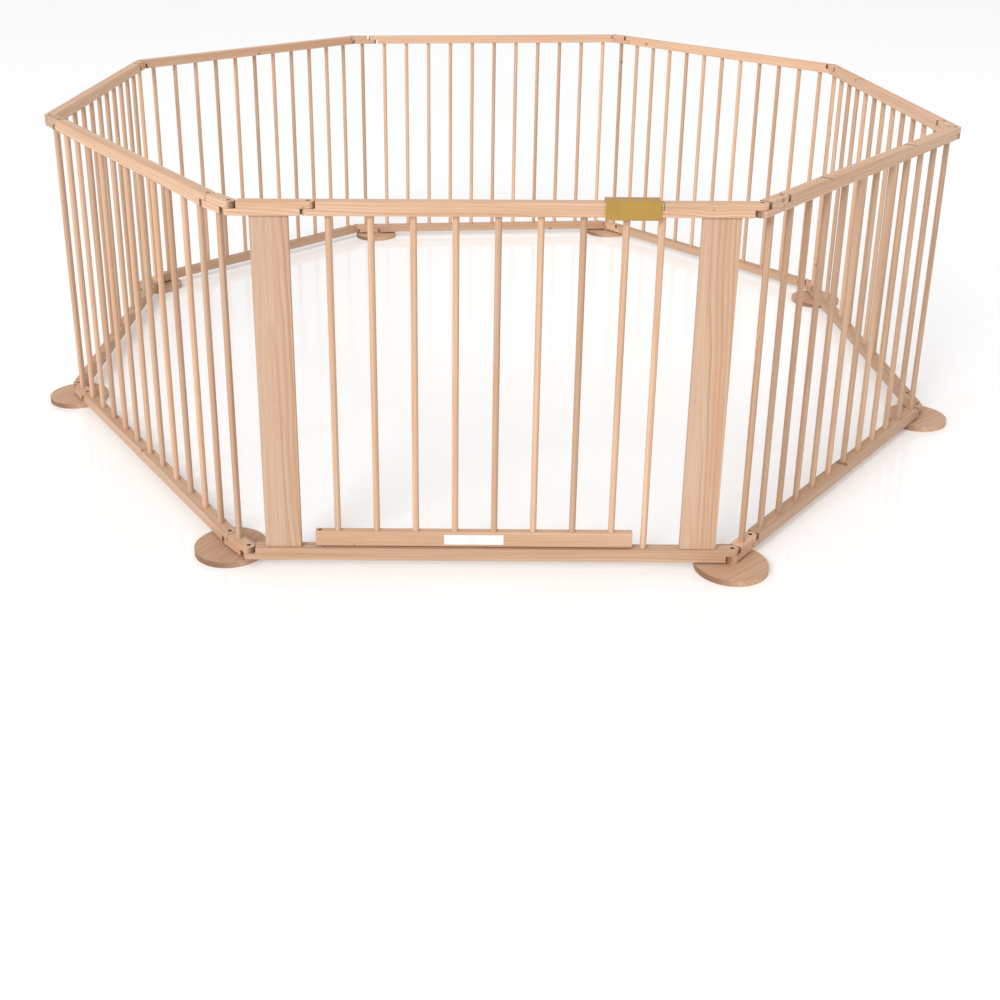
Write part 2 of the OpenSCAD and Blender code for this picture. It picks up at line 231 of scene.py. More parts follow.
class Value:
    """A number, vector or colour that a node gives. Adding or multiplying two adds a Math node."""

    def __init__(self, tree, socket):
        self.tree = tree
        self.socket = socket

    def maths(self, operation, *others):
        ends = dict(enumerate((self, *others)))
        return self.tree.add("ShaderNodeMath", {"operation": operation}, ends)

    def __add__(self, other):
        return self.maths("ADD", other)

    def __sub__(self, other):
        return self.maths("SUBTRACT", other)

    def __mul__(self, other):
        return self.maths("MULTIPLY", other)

    def __truediv__(self, other):
        return self.maths("DIVIDE", other)

    __radd__ = __add__


class Tree:
    """Adds nodes to a node tree. Settings come first, then the values or links of the sockets."""

    def __init__(self, nodes):
        self.nodes = nodes.nodes
        self.links = nodes.links

    def add(self, kind, settings=None, values=None, out=0):
        made = self.nodes.new(kind)
        for name, value in (settings or {}).items():
            if name == "stops":
                self.set_stops(made.color_ramp, value)
            else:
                setattr(made, name, value)
        for name, value in (values or {}).items():
            socket = made.inputs[name]
            if isinstance(value, Value):
                self.links.new(value.socket, socket)
            else:
                socket.default_value = value
        return Value(self, made.outputs[out]) if made.outputs else made

    @staticmethod
    def set_stops(ramp, stops):
        while len(ramp.elements) < len(stops):
            ramp.elements.new(1)
        for element, (place, tone) in zip(ramp.elements, stops):
            element.position = place
            element.color = (tone, tone, tone, 1)

    def blend(self, share, first, second, way="MIX"):
        """Mixes two colours by a share of the second."""
        settings = {"data_type": "RGBA", "blend_type": way}
        ends = {0: share, 6: full(first), 7: full(second)}
        return self.add("ShaderNodeMix", settings, ends, out=2)

    def stretch(self, vector, scale):
        """Scales a vector, so that a pattern runs long along the grain."""
        return self.add("ShaderNodeMapping", None, {"Vector": vector, "Scale": scale})

    def cloud(self, vector, detail=2.0, rough=0.5, out=0):
        values = {"Vector": vector, "Scale": 1.0, "Detail": detail, "Roughness": rough}
        return self.add("ShaderNodeTexNoise", None, values, out=out)

    def ramp(self, share, stops):
        return self.add("ShaderNodeValToRGB", {"stops": stops}, {0: share})

    def steps(self, value, low, high, to_low=0.0, to_high=1.0):
        """Maps a number from low..high to to_low..to_high and holds it there."""
        ends = {0: value, 1: low, 2: high, 3: to_low, 4: to_high}
        return self.add("ShaderNodeMapRange", {"interpolation_type": "SMOOTHSTEP"}, ends)


def full(tone):
    """A colour with its alpha, or the value as it is."""
    return tone if isinstance(tone, Value) else (*tone[:3], 1)


def new_material(name):
    material = bpy.data.materials.new(name)
    material.use_nodes = True
    material.node_tree.nodes.clear()
    return material, Tree(material.node_tree)


def close_material(tree, values):
    """Ends a material in its shader and output."""
    shader = tree.add("ShaderNodeBsdfPrincipled", None, values)
    tree.add("ShaderNodeOutputMaterial", None, {"Surface": shader})


# ---- Pine ----

# How fast each pattern changes along, across and up a piece, per metre
WANDER_PACE = (1.6, 7.0, 7.0)
FIBRE_PACE = (9.0, 900.0, 900.0)
STREAK_PACE = (3.0, 190.0, 190.0)
PORE_PACE = (55.0, 1500.0, 1500.0)
PATCH_PACE = (1.3, 38.0, 38.0)

# How far the growth lines wander, in metres
WANDER = 0.022

# How dark the wood of one year is, from spring to winter
YEAR = [(0.0, 0.0), (0.35, 0.08), (0.78, 0.75), (0.90, 1.0), (0.97, 0.10), (1.0, 0.0)]
PALEST_YEAR = 0.35

# The edge of a board's plain side, in metres, and how much of the growth lines is left there
PLAIN_FROM = -0.012
PLAIN_TO = 0.010
PLAIN_SHARE = 0.22

# Shares of the darker tones
FIBRE_SHARE = 0.20
STREAK_SHARE = 0.22
PORE_SHARE = 0.30
KNOT_SHARE = 0.75
# End grain is truly darker, and its share is set deep enough that it also paints shade into the seams
# between the fingers
END_SHARE = 0.78

# A piece's tone from TONE_LOW to TONE_HIGH takes its wood from SHADE_LOW to SHADE_HIGH
TONE_LOW = -1.2
TONE_HIGH = 1.2
SHADE_LOW = 0.78
SHADE_HIGH = 1.06

GRAIN_DEPTH = 0.0004
GRAIN_STRENGTH = 0.22
LACQUER_SHINE = 0.4


def pine(name, look, pith, lines, cone=0.0, base=None, warmth=0.35, quiet=None, spread=1.0, knots=False):
    """Pine cut from a log whose middle lies `pith` metres off the piece, across and up.

    `lines` is how strongly the growth lines show, and `cone` how fast they run out along the piece.
    `quiet` is how far across the piece its plain side ends, where it has one.
    `spread` widens the lines.
    """
    material, tree = new_material(name)
    early = base or tuple(look.early)
    place = tree.add("ShaderNodeAttribute", {"attribute_name": "grain"}, out="Vector")
    tone = tree.add("ShaderNodeAttribute", {"attribute_name": "tone"}, out="Fac")
    sawn_end = tree.add("ShaderNodeAttribute", {"attribute_name": "sawn_end"}, out="Fac")

    # The log is never quite straight, so its growth lines wander along the piece
    wander = tree.cloud(tree.stretch(place, WANDER_PACE), detail=3.0, out="Color")
    wander = tree.add("ShaderNodeVectorMath", {"operation": "SUBTRACT"}, {0: wander, 1: (0.5, 0.5, 0.5)})
    wander = tree.add("ShaderNodeVectorMath", {"operation": "SCALE"}, {0: wander, "Scale": WANDER})
    bent = tree.add("ShaderNodeVectorMath", {"operation": "ADD"}, {0: place, 1: wander})
    parts = tree.add("ShaderNodeSeparateXYZ", None, {0: bent}).socket.node
    along, across, up = (Value(tree, parts.outputs[k]) for k in range(3))
    out_across = across - pith[0]
    out_up = up - pith[1]
    radius = (out_across * out_across + out_up * out_up).maths("SQRT") + along * cone
    if knots:
        knot, swell = small_knots(tree, along, up)
        radius = radius + swell
    age = radius / (look.ring * spread)
    year = age.maths("FLOOR")
    season = age.maths("FRACT")
    line = tree.ramp(season, YEAR)
    wet_year = tree.add("ShaderNodeTexWhiteNoise", {"noise_dimensions": "1D"}, {"W": year})
    line = line * (PALEST_YEAR + wet_year * (1 - PALEST_YEAR))
    if quiet is not None:
        figure = tree.steps(across, quiet + PLAIN_FROM, quiet + PLAIN_TO, PLAIN_SHARE, 1.0)
        line = line * figure

    # Fine fibres and short dark pores run along the grain
    fibres = tree.cloud(tree.stretch(place, FIBRE_PACE), detail=3.0, rough=0.6)
    streaks = tree.cloud(tree.stretch(place, STREAK_PACE), detail=2.0)
    pores = tree.steps(tree.cloud(tree.stretch(place, PORE_PACE), detail=1.0), 0.66, 0.76)
    patches = tree.cloud(tree.stretch(place, PATCH_PACE), detail=2.0)

    wood = tree.blend(line * lines, early, look.late)
    warm_share = tree.steps(patches, 0.42, 0.72, 0.0, warmth)
    if quiet is not None:
        warm_share = warm_share * figure
    wood = tree.blend(warm_share, wood, look.warm)
    wood = tree.blend(tree.steps(fibres, 0.3, 0.75, 0.0, FIBRE_SHARE), wood, look.late)
    wood = tree.blend(tree.steps(streaks, 0.45, 0.75, 0.0, STREAK_SHARE), wood, look.late)
    wood = tree.blend(pores * PORE_SHARE, wood, look.end)
    if knots:
        wood = tree.blend(knot * KNOT_SHARE, wood, look.knot)
    # The tone brightens or darkens each piece: the wood's own variety, with painted light on the top
    # rails and painted shade on the bottom rails and on some panels' bars
    shade = tree.steps(tone, TONE_LOW, TONE_HIGH, SHADE_LOW, SHADE_HIGH)
    grey = tree.add("ShaderNodeCombineXYZ", None, {0: shade, 1: shade, 2: shade})
    wood = tree.blend(1.0, wood, grey, "MULTIPLY")
    # Sawn ends take the end-grain colour, and the walls of bored holes take it as painted shade
    wood = tree.blend(sawn_end * END_SHARE, wood, look.end)

    height = fibres * 0.6 + line * 0.5 - pores * 1.2
    relief = {"Strength": GRAIN_STRENGTH, "Distance": GRAIN_DEPTH, "Height": height}
    bump = tree.add("ShaderNodeBump", None, relief)
    rough = look.roughness + fibres * 0.12 + sawn_end * 0.2 - line * 0.05
    close_material(
        tree,
        {"Base Color": wood, "Roughness": rough, "Normal": bump, "Specular IOR Level": LACQUER_SHINE},
    )
    return material


KNOTS_PER_METRE = 2.4
KNOT_CHANCE = 0.45
KNOT_SIZE = 0.0085
KNOT_BAND = 0.03
KNOT_EDGE = (-0.0012, 0.0010)
KNOT_REACH = 0.026
KNOT_SWELL = 1.6


def small_knots(tree, along, up):
    """Small branches cut across: where they show, and how far the growth lines bend round them."""
    cell = (along * KNOTS_PER_METRE).maths("FLOOR")
    drawn = tree.add("ShaderNodeTexWhiteNoise", {"noise_dimensions": "1D"}, {"W": cell}, out="Color")
    lots = tree.add("ShaderNodeSeparateColor", None, {0: drawn}).socket.node
    first, second, third = (Value(tree, lots.outputs[k]) for k in range(3))
    off_along = along - (cell + 0.2 + first * 0.6) / KNOTS_PER_METRE
    off_up = up - (second - 0.5) * KNOT_BAND
    away = (off_along * off_along * 0.5 + off_up * off_up).maths("SQRT")
    size = (third - KNOT_CHANCE).maths("MAXIMUM", 0.0) * KNOT_SIZE
    there = tree.steps(third, KNOT_CHANCE, KNOT_CHANCE + 0.1)
    knot = tree.steps(away - size, *KNOT_EDGE, 1.0, 0.0) * there
    swell = tree.steps(away, 0.0, KNOT_REACH, 1.0, 0.0) * size * KNOT_SWELL
    return knot, swell


def rail_pine(look):
    return pine("Rail pine", look, (0.041, -0.052), lines=0.66, cone=0.004, warmth=0.6, knots=True)


def board_pine(look):
    return pine(
        "Board pine",
        look,
        (-0.016, 0.024),
        lines=0.8,
        cone=0.022,
        base=tuple(look.board),
        warmth=0.8,
        quiet=0.0,
        spread=1.5,
    )


def bar_pine(look):
    return pine("Bar pine", look, (0.035, 0.028), lines=0.42, warmth=0.45)


def foot_pine(look):
    return pine(
        "Foot pine",
        look,
        (0.010, -0.036),
        lines=0.5,
        cone=0.05,
        base=tuple(look.foot),
        warmth=0.6,
        spread=2.2,
    )


# ---- Laying the grain and rounding the edges ----


def islands(mesh):
    """Groups of vertices, one for each separate solid of a mesh."""
    owner = list(range(len(mesh.vertices)))

    def top(k):
        while owner[k] != k:
            owner[k] = owner[owner[k]]
            k = owner[k]
        return k

    for edge in mesh.edges:
        a, b = (top(k) for k in edge.vertices)
        owner[a] = b
    groups = {}
    for k in range(len(owner)):
        groups.setdefault(top(k), []).append(k)
    return [groups[k] for k in sorted(groups)]


# How far each solid's wood is moved along and across its log, in metres
SHIFT_ALONG = 3.0
SHIFT_ACROSS = 0.012

# How squarely a face must look along the grain to start and to be full end grain
END_FROM = 0.55
END_TO = 0.95

# Ranges of tone, from dark to pale. The even and board ranges are the wood's own variety. The top range
# is painted light on the top rails, the low range is painted shade on the bottom rails, and the dark
# range is painted shade on the bars of some panels, each with the wood's own variety within it
EVEN_TONE = (-0.7, 0.9)
TOP_PAINTED_LIGHT_TONE = (0.2, 1.1)
LOW_PAINTED_SHADE_TONE = (-1.1, -0.5)
BOARD_TONE = (-0.2, 0.4)
BAR_PAINTED_SHADE_TONE = (-1.7, 0.1)

# Panels whose bars are given the darker tone. It is painted shade, not a different wood
PAINTED_SHADE_PANELS = (2, 3, 7)


def lay_grain(mesh, line, seed, run=None, light=EVEN_TONE):
    """Gives each solid its own stretch of wood, with the grain along its longest side.

    `run` is a turn about z that the grain takes instead, for a disc. `light` is the range of its tones,
    which holds painted light for top rails and painted shade for bottom rails and some bars.
    """
    local = to_local(line)
    if run is not None:
        local = Matrix.Rotation(-run, 4, "Z") @ local
    chance = random.Random(seed)
    grain = [0.0] * (3 * len(mesh.vertices))
    tone = [0.0] * len(mesh.vertices)
    end_and_hollow_shares = [0.0] * len(mesh.loops)
    hollow = mesh.attributes.get("hollow")
    axis_of = {}
    for group in islands(mesh):
        places = [local @ mesh.vertices[k].co for k in group]
        low = Vector(min(p[a] for p in places) for a in range(3))
        high = Vector(max(p[a] for p in places) for a in range(3))
        size = high - low
        longest = 0 if run is not None else max(range(3), key=lambda a: size[a])
        order = (longest, (longest + 1) % 3, (longest + 2) % 3)
        middle = (low + high) / 2
        shift = Vector(
            (
                chance.uniform(0, SHIFT_ALONG),
                chance.uniform(-SHIFT_ACROSS, SHIFT_ACROSS),
                chance.uniform(-SHIFT_ACROSS, SHIFT_ACROSS),
            )
        )
        lightness = chance.uniform(*light)
        for k, place in zip(group, places):
            out = place - middle
            grain[3 * k : 3 * k + 3] = Vector(out[a] for a in order) + shift
            tone[k] = lightness
            axis_of[k] = longest
    turn = local.to_3x3()
    for face in mesh.polygons:
        facing = turn @ face.normal
        squareness = abs(facing[axis_of[face.vertices[0]]])
        darkness = min(max((squareness - END_FROM) / (END_TO - END_FROM), 0.0), 1.0)
        # The walls of bored holes take the full end-grain colour, which is painted shade
        if hollow and hollow.data[face.index].value > 0.5:
            darkness = 1.0
        for corner in face.loop_indices:
            end_and_hollow_shares[corner] = darkness
    for name, kind, domain, field, values in (
        ("grain", "FLOAT_VECTOR", "POINT", "vector", grain),
        ("tone", "FLOAT", "POINT", "value", tone),
        ("sawn_end", "FLOAT", "CORNER", "value", end_and_hollow_shares),
    ):
        mesh.attributes.new(name, kind, domain).data.foreach_set(field, values)


# Vertices closer than this are one, and faces at less than this angle are one
MERGE = 2e-6
FLAT = math.radians(0.4)
CORNER_ANGLE = math.radians(35)


def merged(node):
    """A CAD node's shape as one skin, with its flat faces whole."""
    shape = bmesh.new()
    shape.from_mesh(frame["nodes"][node].data)
    bmesh.ops.remove_doubles(shape, verts=shape.verts, dist=MERGE)
    bmesh.ops.dissolve_limit(shape, angle_limit=FLAT, verts=shape.verts, edges=shape.edges)
    return shape


def in_hollow(face):
    """True for a face of a bored hole, whose wall curves inwards."""
    return any(
        len(e.link_faces) == 2 and not e.is_convex and FLAT < e.calc_face_angle(0) < CORNER_ANGLE
        for e in face.edges
    )


# A saw cut is an edge longer than LONG_EDGE that runs across the grain. It takes a share of the rounding
LONG_EDGE = 0.0015
ACROSS_GRAIN = 0.3
CRISP = 0.22


def weigh_edges(shape, line):
    """Sets how much of the rounding each outer edge takes. Saw cuts stay crisp, and hollows sharp."""
    hollow = shape.faces.layers.float.new("hollow")
    for face in shape.faces:
        face[hollow] = float(in_hollow(face))
    weight = shape.edges.layers.float.new("bevel_weight_edge")
    way = Vector((math.cos(line[1]), math.sin(line[1]), 0))
    for edge in shape.edges:
        if len(edge.link_faces) != 2 or not edge.is_convex or edge.calc_face_angle(0) < CORNER_ANGLE:
            continue
        if any(face[hollow] for face in edge.link_faces):
            continue
        run = edge.verts[1].co - edge.verts[0].co
        straight_across = run.length > LONG_EDGE and abs(run.normalized() @ way) < ACROSS_GRAIN
        edge[weight] = CRISP if straight_across else 1.0


def rounded(node, radius, steps, material, line, seed, run=None, light=EVEN_TONE):
    """A copy of a CAD node with its outer edges rounded. It stands for the node."""
    shape = merged(node)
    weigh_edges(shape, line)
    mesh = bpy.data.meshes.new(node + "_shape")
    shape.to_mesh(mesh)
    shape.free()
    piece = bpy.data.objects.new(node + "_piece", mesh)
    bpy.context.scene.collection.objects.link(piece)
    bevel = piece.modifiers.new("Rounded edges", "BEVEL")
    bevel.limit_method = "WEIGHT"
    bevel.width = radius
    bevel.segments = steps
    bevel.use_clamp_overlap = True
    bevel.miter_outer = "MITER_ARC"
    as_mesh(piece)
    return finish_piece(piece, node, material, line, seed, run, light)


def finish_piece(piece, node, material, line, seed, run=None, light=EVEN_TONE):
    """Smooths a piece, lays its grain, and lets it stand for its CAD node."""
    mesh = piece.data
    mesh.shade_smooth()
    mesh.set_sharp_from_angle(angle=CORNER_ANGLE)
    even = piece.modifiers.new("Even shading", "WEIGHTED_NORMAL")
    even.keep_sharp = True
    mesh = as_mesh(piece)
    lay_grain(mesh, line, seed, run, light)
    mesh.materials.clear()
    mesh.materials.append(material)
    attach(piece, frame["nodes"][node]["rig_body"])
    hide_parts(node)
    return piece


def as_mesh(piece):
    """Applies a piece's modifiers and leaves it a plain mesh."""
    graph = bpy.context.evaluated_depsgraph_get()
    made = bpy.data.meshes.new_from_object(
        piece.evaluated_get(graph), preserve_all_data_layers=True, depsgraph=graph
    )
    piece.modifiers.clear()
    piece.data = made
    made.name = piece.name + "_shape"
    return made


# ---- Bars, laid out in a row by Geometry Nodes ----


def bar_row_tree():
    """A row of round bars, with its count, pitch, sizes, place, turn and material as inputs."""
    group = bpy.data.node_groups.new("Bar row", "GeometryNodeTree")
    face = group.interface
    face.new_socket("Geometry", in_out="OUTPUT", socket_type="NodeSocketGeometry")
    sockets = {}
    for name, kind in (
        ("Count", "NodeSocketInt"),
        ("Sides", "NodeSocketInt"),
        ("Pitch", "NodeSocketFloat"),
        ("First bar", "NodeSocketFloat"),
        ("Radius", "NodeSocketFloat"),
        ("Height", "NodeSocketFloat"),
        ("Low end", "NodeSocketFloat"),
        ("Start", "NodeSocketVector"),
        ("Heading", "NodeSocketFloat"),
        ("Seed", "NodeSocketInt"),
        ("Material", "NodeSocketMaterial"),
    ):
        sockets[name] = face.new_socket(name, in_out="INPUT", socket_type=kind).identifier
    tree = Tree(group)
    entry = group.nodes.new("NodeGroupInput")
    given = {name: Value(tree, entry.outputs[name]) for name in sockets}

    step = tree.add("ShaderNodeCombineXYZ", None, {0: given["Pitch"]})
    first_height = given["Low end"] + given["Height"] * 0.5
    first = tree.add("ShaderNodeCombineXYZ", None, {0: given["First bar"], 2: first_height})
    row = tree.add(
        "GeometryNodeMeshLine",
        {"mode": "OFFSET"},
        {"Count": given["Count"], "Start Location": first, "Offset": step},
    )
    bar = tree.add(
        "GeometryNodeMeshCylinder",
        {"fill_type": "NGON"},
        {"Vertices": given["Sides"], "Radius": given["Radius"], "Depth": given["Height"]},
    )
    # Each bar is turned by its own amount, as a person fitting them would leave them
    turn = tree.add(
        "FunctionNodeRandomValue",
        {"data_type": "FLOAT"},
        {2: 0.0, 3: math.tau, "Seed": given["Seed"]},
        out=1,
    )
    spin = tree.add("ShaderNodeCombineXYZ", None, {2: turn})
    bars = tree.add(
        "GeometryNodeInstanceOnPoints", None, {"Points": row, "Instance": bar, "Rotation": spin}
    )
    solid = tree.add("GeometryNodeRealizeInstances", None, {0: bars})
    facing = tree.add("ShaderNodeCombineXYZ", None, {2: given["Heading"]})
    placed = tree.add(
        "GeometryNodeTransform",
        None,
        {"Geometry": solid, "Translation": given["Start"], "Rotation": facing},
    )
    finished = tree.add(
        "GeometryNodeSetMaterial", None, {"Geometry": placed, "Material": given["Material"]}
    )
    tree.add("NodeGroupOutput", None, {0: finished})
    return group, sockets


def bar_row(node, group, sockets, line, material, sides, seed, light=EVEN_TONE):
    """The bars of one panel, made from the row tree with the CAD node's own sizes."""
    local = to_local(line)
    shape = merged(node)
    source = bpy.data.meshes.new(node + "_row")
    shape.to_mesh(source)
    shape.free()
    places = [local @ v.co for v in source.vertices]
    low = Vector(min(p[a] for p in places) for a in range(3))
    high = Vector(max(p[a] for p in places) for a in range(3))
    radius = (high.y - low.y) / 2
    count = len(islands(source))
    pitch = (high.x - low.x - 2 * radius) / max(count - 1, 1)
    piece = bpy.data.objects.new(node + "_piece", source)
    bpy.context.scene.collection.objects.link(piece)
    maker = piece.modifiers.new("Bar row", "NODES")
    maker.node_group = group
    for name, value in {
        "Count": count,
        "Sides": sides,
        "Pitch": pitch,
        "First bar": low.x + radius,
        "Radius": radius,
        "Height": high.z - low.z,
        "Low end": low.z,
        "Start": tuple(line[0]),
        "Heading": line[1],
        "Seed": seed,
        "Material": material,
    }.items():
        maker[sockets[name]] = value
    as_mesh(piece)
    return finish_piece(piece, node, material, line, seed, light=light)


# ---- Plastic, steel and card ----

# How fast each pattern changes along x, y and z, per metre
PLASTIC_FINE_PACE = (900, 900, 900)
PLASTIC_SLOW_PACE = (22, 22, 30)
TARNISH_PACE = (260, 260, 260)
TURNING_PACE = (300, 300, 5000)
PAPER_PACE = (1600, 1600, 1600)
CARD_SLOW_PACE = (30, 30, 30)

# Heights of the fine relief, in metres
TOOL_RELIEF = 0.0001
PAPER_RELIEF = 0.00005
PLASTIC_SHINE = 0.3
TARNISHED = 0.55


def moulded_plastic(look):
    """Mustard plastic with a faint moulded texture and slow changes of tone."""
    material, tree = new_material("Latch plastic")
    place = tree.add("ShaderNodeTexCoord", out="Object")
    fine = tree.cloud(tree.stretch(place, PLASTIC_FINE_PACE), detail=2.0)
    slow = tree.cloud(tree.stretch(place, PLASTIC_SLOW_PACE), detail=3.0)
    dark = tuple(0.94 * c for c in look.latch)
    light = tuple(1.05 * c for c in look.latch)
    tone = tree.blend(tree.steps(slow, 0.3, 0.7), dark, light)
    bump = tree.add("ShaderNodeBump", None, {"Strength": 0.25, "Distance": TOOL_RELIEF, "Height": fine})
    rough = 0.36 + slow * 0.12
    close_material(
        tree,
        {"Base Color": tone, "Roughness": rough, "Normal": bump, "Specular IOR Level": PLASTIC_SHINE},
    )
    return material


def steel(name, tone, roughness):
    """Steel with turning marks and a little tarnish."""
    material, tree = new_material(name)
    place = tree.add("ShaderNodeTexCoord", out="Object")
    tarnish = tree.cloud(tree.stretch(place, TARNISH_PACE), detail=4.0)
    marks = tree.cloud(tree.stretch(place, TURNING_PACE), detail=1.0)
    dark = tuple(TARNISHED * c for c in tone)
    base = tree.blend(tree.steps(tarnish, 0.40, 0.70), tone, dark)
    rough = roughness + tarnish * 0.25
    bump = tree.add("ShaderNodeBump", None, {"Strength": 0.2, "Distance": TOOL_RELIEF, "Height": marks})
    close_material(tree, {"Base Color": base, "Roughness": rough, "Metallic": 1.0, "Normal": bump})
    return material


def card(look):
    """Smooth printed card with a faint paper tooth."""
    material, tree = new_material("Label card")
    place = tree.add("ShaderNodeTexCoord", out="Object")
    tooth = tree.cloud(tree.stretch(place, PAPER_PACE), detail=3.0)
    slow = tree.cloud(tree.stretch(place, CARD_SLOW_PACE), detail=2.0)
    grey = tuple(0.93 * c for c in look.label)
    tone = tree.blend(tree.steps(slow, 0.35, 0.7), look.label, grey)
    bump = tree.add("ShaderNodeBump", None, {"Strength": 0.15, "Distance": PAPER_RELIEF, "Height": tooth})
    rough = 0.42 + tooth * 0.1
    close_material(tree, {"Base Color": tone, "Roughness": rough, "Normal": bump})
    return material


def repaint(node, material):
    """Gives a CAD node that stays a better material."""
    slots = frame["nodes"][node].data.materials
    slots.clear()
    slots.append(material)


# ---- Operators ----

# Where each kind of piece starts its random draws. Rails step on by panel
RAIL_SEED_STEP = 20
BAR_SEED = 300
LINK_SEED = 500
FOOT_SEED = 600
GATE_SEED = 700
LATCH_SEED = 801
LABEL_SEED = 802
FOOT_TURN_SEED = 77

# Least and most turn of the grain on a foot disc, in radians
FOOT_TURN = (0.4, 1.2)
LABEL_EDGE = 0.0002


def looks():
    scene = bpy.context.scene
    return scene.playpen_pine, scene.playpen_edges, scene.playpen_fittings, scene.playpen_studio


class PLAYPEN_OT_plain_panels(bpy.types.Operator):
    """Makes the top and bottom rails of the seven plain panels"""

    bl_idname = "playpen.plain_panels"
    bl_label = "Plain panel rails"

    def execute(self, context):
        wood, edges, _, _ = looks()
        material = rail_pine(wood)
        for number in PLAIN_PANELS:
            line = panel_line(number)
            # Top rails take a tone range of painted light, and bottom rails one of painted shade
            for k, (rail, light) in enumerate((("top", TOP_PAINTED_LIGHT_TONE), ("bottom", LOW_PAINTED_SHADE_TONE))):
                rounded(
                    f"panel_{number}_{rail}_rail",
                    edges.rail,
                    edges.steps,
                    material,
                    line,
                    RAIL_SEED_STEP * number + k,
                    light=light,
                )
        return {"FINISHED"}


class PLAYPEN_OT_bars(bpy.types.Operator):
    """Makes the round bars of every panel and of the gate"""

    bl_idname = "playpen.bars"
    bl_label = "Bars"

    def execute(self, context):
        wood, edges, _, _ = looks()
        material = bar_pine(wood)
        group, sockets = bar_row_tree()
        rows = [(f"panel_{n}_bars", n) for n in PLAIN_PANELS]
        rows += [("gate_bars", 1), ("gate_post_bar", 1)]
        for seed, (node, number) in enumerate(rows, start=BAR_SEED):
            line = panel_line(number)
            # The bars of some panels take a darker tone range, which is painted shade
            light = BAR_PAINTED_SHADE_TONE if number in PAINTED_SHADE_PANELS else EVEN_TONE
            bar_row(node, group, sockets, line, material, edges.bar_sides, seed, light)
        return {"FINISHED"}


class PLAYPEN_OT_corners(bpy.types.Operator):
    """Makes the eight corner links and their pivot pins"""

    bl_idname = "playpen.corners"
    bl_label = "Corner links"

    def execute(self, context):
        wood, edges, fittings, _ = looks()
        material = bpy.data.materials.get("Rail pine") or rail_pine(wood)
        pin = steel("Pin steel", tuple(fittings.pin), 0.4)
        for number in CORNERS:
            rounded(
                f"corner_{number}_link",
                edges.rail,
                edges.steps,
                material,
                link_line(number),
                LINK_SEED + number,
            )
            repaint(f"corner_{number}_pins", pin)
        repaint("open_pivot_pin_ends", pin)
        return {"FINISHED"}


class PLAYPEN_OT_feet(bpy.types.Operator):
    """Makes the eight foot discs, each with its grain at its own angle"""

    bl_idname = "playpen.feet"
    bl_label = "Feet"

    def execute(self, context):
        wood, edges, _, _ = looks()
        material = foot_pine(wood)
        chance = random.Random(FOOT_TURN_SEED)
        for number in CORNERS:
            low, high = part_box(f"corner_{number}_foot")
            line = ((low + high) / 2 * Vector((1, 1, 0)), 0.0)
            run = chance.uniform(*FOOT_TURN)
            rounded(
                f"corner_{number}_foot",
                edges.foot,
                edges.steps,
                material,
                line,
                FOOT_SEED + number,
                run=run,
            )
        return {"FINISHED"}


class PLAYPEN_OT_gate_panel(bpy.types.Operator):
    """Makes the fixed rails and boards of the gate panel, and the gate's rails"""

    bl_idname = "playpen.gate_panel"
    bl_label = "Gate panel"

    def execute(self, context):
        wood, edges, fittings, _ = looks()
        rail = bpy.data.materials.get("Rail pine") or rail_pine(wood)
        board = board_pine(wood)
        line = panel_line(1)
        # The hinge side and gate top rails take a tone range of painted light, and the fixed bottom rail
        # one of painted shade
        for seed, (node, radius, material, slot, light) in enumerate(
            (
                ("gate_panel_bottom_rail", edges.rail, rail, "rail_pine", LOW_PAINTED_SHADE_TONE),
                ("hinge_side_top_rail", edges.rail, rail, "rail_pine", TOP_PAINTED_LIGHT_TONE),
                ("latch_side_top_rail", edges.rail, rail, "rail_pine", BOARD_TONE),
                ("gate_top_rail", edges.rail, rail, "rail_pine", TOP_PAINTED_LIGHT_TONE),
                ("gate_bottom_rail", edges.gate, rail, "rail_pine", BOARD_TONE),
                ("hinge_side_board", edges.board, board, "board_pine", BOARD_TONE),
                ("latch_side_board", edges.board, board, "board_pine", BOARD_TONE),
            ),
            start=GATE_SEED,
        ):
            rounded(node, radius, edges.steps, material, line, seed, light=light)
        zinc = steel("Screw zinc", tuple(fittings.screw), 0.3)
        repaint("gate_hinge_pins", zinc)
        repaint("latch_stop_screw", zinc)
        return {"FINISHED"}


class PLAYPEN_OT_latch(bpy.types.Operator):
    """Makes the moulded latch sleeve and the blank label"""

    bl_idname = "playpen.latch"
    bl_label = "Latch and label"

    def execute(self, context):
        _, edges, fittings, _ = looks()
        line = panel_line(1)
        plastic = moulded_plastic(fittings)
        rounded("latch_sleeve", edges.latch, edges.steps, plastic, line, LATCH_SEED)
        rounded("gate_label", LABEL_EDGE, 1, card(fittings), line, LABEL_SEED)
        return {"FINISHED"}


class PLAYPEN_OT_studio(bpy.types.Operator):
    """Makes the floor, the lights and the camera"""

    bl_idname = "playpen.studio"
    bl_label = "Studio"

    def execute(self, context):
        studio = looks()[3]
        scene = context.scene
        scene.view_settings.view_transform = "Standard"
        make_floor(studio)
        make_lights(studio)
        make_camera(studio)
        return {"FINISHED"}


FLOOR_HALF = 60.0
FLOOR_ROUGHNESS = 0.10
FLOOR_SHINE = 0.5


